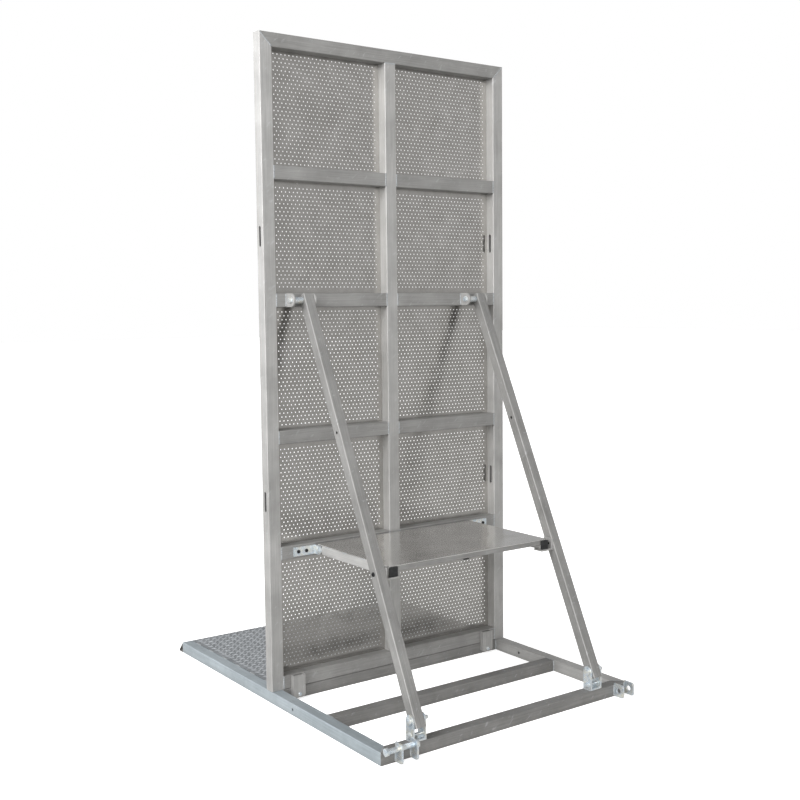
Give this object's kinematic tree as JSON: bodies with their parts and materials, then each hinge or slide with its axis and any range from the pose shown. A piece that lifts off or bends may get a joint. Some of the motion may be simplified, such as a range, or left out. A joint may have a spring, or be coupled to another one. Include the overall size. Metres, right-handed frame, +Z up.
{
  "type": "folding crowd barrier",
  "caption": "Folding aluminium crowd barrier: a perforated upright panel hinged on a tread base, with rear struts on pull-out pins and a fold-up step.",
  "frame": {"origin": "on the floor under the middle of the upright panel", "axes": "+Z up, +X to the right seen from behind, +Y towards the crowd's side with the tread plate"},
  "size_m": [1, 1.388, 2.16],
  "materials": {
    "mill_aluminium": "mill-finish extruded tube, satin",
    "tread_aluminium": "bright rolled tread plate",
    "sheet_aluminium": "perforated rolled sheet, half bright",
    "zinc_steel": "bright zinc plate",
    "black_steel": "black oxide",
    "black_plastic": "moulded polyethylene"
  },
  "bodies": {
    "base": {"base_side_rail_left": "mill_aluminium", "base_side_rail_right": "mill_aluminium", "base_rear_rail": "mill_aluminium", "base_middle_rail": "mill_aluminium", "base_hinge_rail": "mill_aluminium", "base_front_nose": "mill_aluminium", "tread_plate": "tread_aluminium", "tread_joists": "mill_aluminium", "panel_stop_left": "mill_aluminium", "panel_stop_right": "mill_aluminium", "stop_bolts": "zinc_steel", "clevis_left": "zinc_steel", "clevis_right": "zinc_steel", "clevis_tie_bolts": "zinc_steel", "coupling_lugs_left": "zinc_steel", "coupling_lugs_right": "zinc_steel", "coupling_bolt": "zinc_steel", "base_hinge_leaves": "mill_aluminium", "hinge_pins": "zinc_steel"},
    "panel": {"stile_left": "mill_aluminium", "stile_right": "mill_aluminium", "top_rail": "mill_aluminium", "bottom_rail": "mill_aluminium", "mullion": "mill_aluminium", "crossbar_upper": "mill_aluminium", "crossbar_strut": "mill_aluminium", "crossbar_lower": "mill_aluminium", "crossbar_step": "mill_aluminium", "infill_row_1": "sheet_aluminium", "infill_row_2": "sheet_aluminium", "infill_row_3": "sheet_aluminium", "infill_row_4": "sheet_aluminium", "infill_row_5": "sheet_aluminium", "panel_hinge_leaves": "mill_aluminium", "strut_lugs_left": "mill_aluminium", "strut_lugs_right": "mill_aluminium", "strut_pivot_bolts": "zinc_steel", "step_hinge_brackets": "zinc_steel", "step_bracket_bolts": "black_steel", "step_pivot_bolts": "zinc_steel"},
    "strut_left": {"strut_left": "mill_aluminium", "ledge_left": "mill_aluminium", "ledge_bolt_left": "black_steel"},
    "strut_right": {"strut_right": "mill_aluminium", "ledge_right": "mill_aluminium", "ledge_bolt_right": "black_steel"},
    "step": {"step_front_tube": "mill_aluminium", "step_rear_tube": "mill_aluminium", "step_cross_tubes": "mill_aluminium", "step_plate": "tread_aluminium", "step_hinge_bushes": "black_plastic", "step_end_plugs": "black_plastic"},
    "foot_pin_left": {"foot_pin_left": "zinc_steel"},
    "foot_pin_right": {"foot_pin_right": "zinc_steel"}
  },
  "joints": [
    {"name": "panel_fold", "type": "hinge", "parent": "base", "child": "panel", "pos_m": [0, 0.0284, 0.0484], "axis": [-1, 0, 0], "range_deg": [0, 90]},
    {"name": "strut_left_fold", "type": "hinge", "parent": "panel", "child": "strut_left", "pos_m": [-0.36, -0.05, 1.32], "axis": [1, 0, 0], "range_deg": [0, 25.2]},
    {"name": "strut_right_fold", "type": "hinge", "parent": "panel", "child": "strut_right", "pos_m": [0.36, -0.05, 1.32], "axis": [1, 0, 0], "range_deg": [0, 25.2]},
    {"name": "step_fold", "type": "hinge", "parent": "panel", "child": "step", "pos_m": [0, -0.046, 0.495], "axis": [-1, 0, 0], "range_deg": [0, 90]},
    {"name": "foot_pin_left_slide", "type": "slide", "parent": "base", "child": "foot_pin_left", "axis": [-1, 0, 0], "range_m": [0, 0.059]},
    {"name": "foot_pin_right_slide", "type": "slide", "parent": "base", "child": "foot_pin_right", "axis": [-1, 0, 0], "range_m": [0, 0.059]}
  ],
  "couplings": [
    {"joint": "strut_left_fold", "follows": "panel_fold", "ratio": 0.27996},
    {"joint": "strut_right_fold", "follows": "panel_fold", "ratio": 0.27996}
  ]
}
